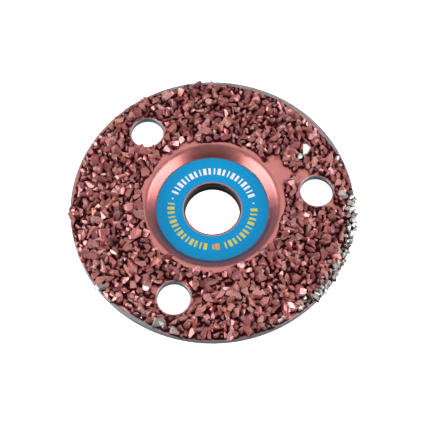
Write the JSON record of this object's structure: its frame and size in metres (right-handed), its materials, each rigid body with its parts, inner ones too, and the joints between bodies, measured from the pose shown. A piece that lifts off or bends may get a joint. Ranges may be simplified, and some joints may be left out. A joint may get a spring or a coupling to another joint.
{
  "type": "angle grinder carving disc",
  "caption": "Round dished steel grinder disc with a central bore, sight holes, a ring label and a front band of crushed carbide grit.",
  "frame": {"origin": "centre of the bore at the hub's back face, which is the face clamped against the grinder's flange and the lowest face of the disc lying grit side up", "axes": "+Z along the bore, out of the grit side; +X near the first sight hole, which stands 8.7 degrees from it towards +Y"},
  "size_m": [0.115, 0.115, 0.0127],
  "materials": {
    "plate_paint": "satin copper paint on steel",
    "hub_black": "blackened steel",
    "braze_paint": "copper paint on braze",
    "grit_paint": "copper paint on crushed carbide",
    "label_blue": "semi-gloss printed film",
    "print_white": "printed",
    "print_yellow": "printed",
    "print_orange": "printed"
  },
  "bodies": {
    "root": {"backing_plate": "plate_paint", "braze_layer": "braze_paint", "grit_inner_01": "grit_paint", "grit_inner_02": "grit_paint", "grit_inner_03": "grit_paint", "grit_inner_04": "grit_paint", "grit_inner_05": "grit_paint", "grit_inner_06": "grit_paint", "grit_inner_07": "grit_paint", "grit_inner_08": "grit_paint", "grit_inner_09": "grit_paint", "grit_inner_10": "grit_paint", "grit_inner_11": "grit_paint", "grit_inner_12": "grit_paint", "grit_middle_01": "grit_paint", "grit_middle_02": "grit_paint", "grit_middle_03": "grit_paint", "grit_middle_04": "grit_paint", "grit_middle_05": "grit_paint", "grit_middle_06": "grit_paint", "grit_middle_07": "grit_paint", "grit_middle_08": "grit_paint", "grit_middle_09": "grit_paint", "grit_middle_10": "grit_paint", "grit_middle_11": "grit_paint", "grit_middle_12": "grit_paint", "grit_outer_01": "grit_paint", "grit_outer_02": "grit_paint", "grit_outer_03": "grit_paint", "grit_outer_04": "grit_paint", "grit_outer_05": "grit_paint", "grit_outer_06": "grit_paint", "grit_outer_07": "grit_paint", "grit_outer_08": "grit_paint", "grit_outer_09": "grit_paint", "grit_outer_10": "grit_paint", "grit_outer_11": "grit_paint", "grit_outer_12": "grit_paint", "hub_ring": "hub_black", "label": "label_blue", "label_emblem": "print_orange", "label_marks_white": "print_white", "label_marks_yellow": "print_yellow"}
  },
  "joints": []
}
